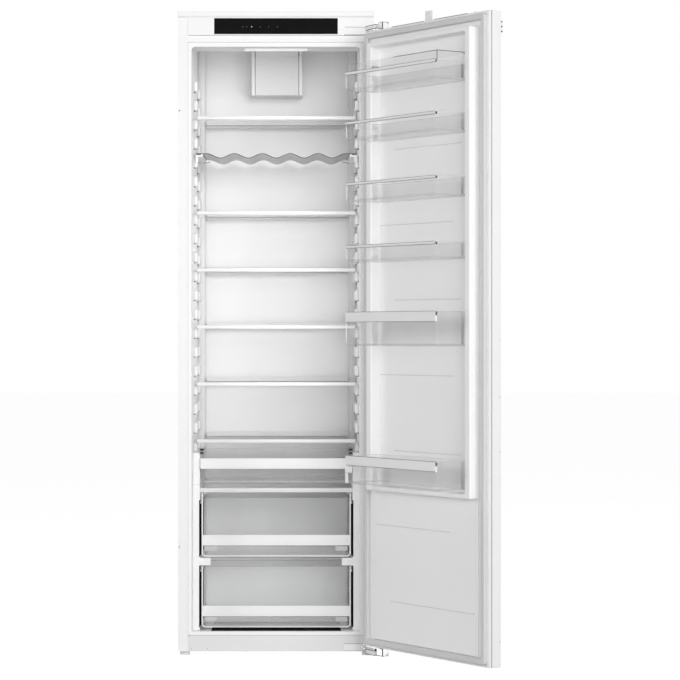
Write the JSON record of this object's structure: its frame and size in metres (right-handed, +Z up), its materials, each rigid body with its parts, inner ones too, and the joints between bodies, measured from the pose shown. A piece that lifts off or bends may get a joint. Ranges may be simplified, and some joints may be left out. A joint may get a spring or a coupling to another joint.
{
  "type": "built-in refrigerator",
  "caption": "Tall built-in larder refrigerator with right-hinged door, glass shelves, corrugated bottle rack, drawers and clear door racks.",
  "frame": {"origin": "floor level, middle of the cabinet's width, in the plane of the cabinet's front frame", "axes": "+X to the right seen from the front, +Y to the rear, +Z up"},
  "size_m": [0.8515, 1.0191, 1.772],
  "materials": {
    "white_steel": "satin white powder coat",
    "zinc_steel": "zinc-plated sheet",
    "hinge_steel": "bright zinc",
    "foam": "rigid foam",
    "liner_plastic": "satin vacuum-formed plastic",
    "white_plastic": "satin moulding",
    "black_glass": "gloss black",
    "indicator": "lit dots",
    "board_green": "solder mask",
    "lamp_window": "frosted lens",
    "fan_plastic": "satin moulding",
    "fan_plate_metal": "fine brushed sheet",
    "motor_black": "semi-gloss black",
    "rack_metal": "polished sheet",
    "clear_glass": "clear toughened glass",
    "drawer_plastic": "tinted clear moulding",
    "grey_plastic": "moulded",
    "dark_plastic": "moulded",
    "aluminium_sheet": "mill",
    "coil_black": "black dip paint",
    "gasket_rubber": "soft white profile",
    "clear_plastic": "clear moulding"
  },
  "bodies": {
    "cabinet": {"back_panel": "zinc_steel", "base_plinth": "white_plastic", "base_tray": "zinc_steel", "bottle_rack": "rack_metal", "bottle_rack_hangers": "white_plastic", "cabinet_screws": "zinc_steel", "circuit_boards": "board_green", "compressor": "motor_black", "condenser": "coil_black", "control_fascia": "white_plastic", "control_glass": "black_glass", "crisper_cover_glass": "clear_glass", "drain_tube": "grey_plastic", "drawer_runners": "white_plastic", "evaporating_pan": "grey_plastic", "evaporator_plate": "aluminium_sheet", "fan_front_plate": "fan_plate_metal", "fan_housing": "fan_plastic", "fan_motor": "motor_black", "foot_and_roller_mounts": "zinc_steel", "hinge_arms": "hinge_steel", "hinge_pins": "hinge_steel", "indicator_lights": "indicator", "inner_liner": "liner_plastic", "insulation_foam": "foam", "light_window": "lamp_window", "mains_inlet": "dark_plastic", "outer_shell": "white_steel", "shelf_glass_1": "clear_glass", "shelf_glass_2": "clear_glass", "shelf_glass_3": "clear_glass", "shelf_glass_4": "clear_glass", "shelf_glass_5": "clear_glass", "shelf_glass_6": "clear_glass", "shelf_trims": "white_plastic", "top_trim": "white_plastic"},
    "door": {"door_skin": "white_steel", "door_foam": "foam", "door_liner": "liner_plastic", "door_gasket": "gasket_rubber", "door_hinge_brackets": "hinge_steel", "furniture_fixings": "zinc_steel", "door_rack_bars": "white_plastic", "door_rack_1": "clear_plastic", "door_rack_2": "clear_plastic", "door_rack_3": "clear_plastic", "door_rack_4": "clear_plastic", "door_rack_5": "clear_plastic", "door_rack_6": "clear_plastic"},
    "dairy_hood": {"dairy_cover": "clear_plastic"},
    "chiller_drawer": {"chiller_tray": "drawer_plastic", "chiller_handle": "white_plastic"},
    "crisper_upper": {"crisper_upper_bin": "drawer_plastic", "crisper_upper_frame": "white_plastic"},
    "crisper_lower": {"crisper_lower_bin": "drawer_plastic", "crisper_lower_frame": "white_plastic"},
    "fan": {"fan_impeller": "fan_plastic"},
    "left_foot": {"foot_left": "dark_plastic"},
    "right_foot": {"foot_right": "dark_plastic"},
    "rollers": {"rear_rollers": "dark_plastic"}
  },
  "joints": [
    {"name": "door_swing", "type": "hinge", "parent": "cabinet", "child": "door", "pos_m": [0.2725, -0.0475, 0.9], "axis": [0, 0, 1], "range_deg": [-124, 0]},
    {"name": "dairy_hood_tip", "type": "hinge", "parent": "door", "child": "dairy_hood", "pos_m": [0.3855, -0.29997, 1.6], "axis": [-0.5592, 0.829, 0], "range_deg": [0, 60]},
    {"name": "chiller_slide", "type": "slide", "parent": "cabinet", "child": "chiller_drawer", "axis": [0, -1, 0], "range_m": [0, 0.2]},
    {"name": "crisper_upper_slide", "type": "slide", "parent": "cabinet", "child": "crisper_upper", "axis": [0, -1, 0], "range_m": [0, 0.24]},
    {"name": "crisper_lower_slide", "type": "slide", "parent": "cabinet", "child": "crisper_lower", "axis": [0, -1, 0], "range_m": [0, 0.15]},
    {"name": "fan_spin", "type": "hinge", "parent": "cabinet", "child": "fan", "pos_m": [0, 0.366, 1.637], "axis": [0, 1, 0], "continuous": true},
    {"name": "left_foot_turn", "type": "hinge", "parent": "cabinet", "child": "left_foot", "pos_m": [-0.251, 0.025, 0.02], "axis": [0, 0, 1], "continuous": true},
    {"name": "right_foot_turn", "type": "hinge", "parent": "cabinet", "child": "right_foot", "pos_m": [0.251, 0.025, 0.02], "axis": [0, 0, 1], "continuous": true},
    {"name": "roller_spin", "type": "hinge", "parent": "cabinet", "child": "rollers", "pos_m": [0, 0.462, 0.017], "axis": [1, 0, 0], "continuous": true}
  ]
}
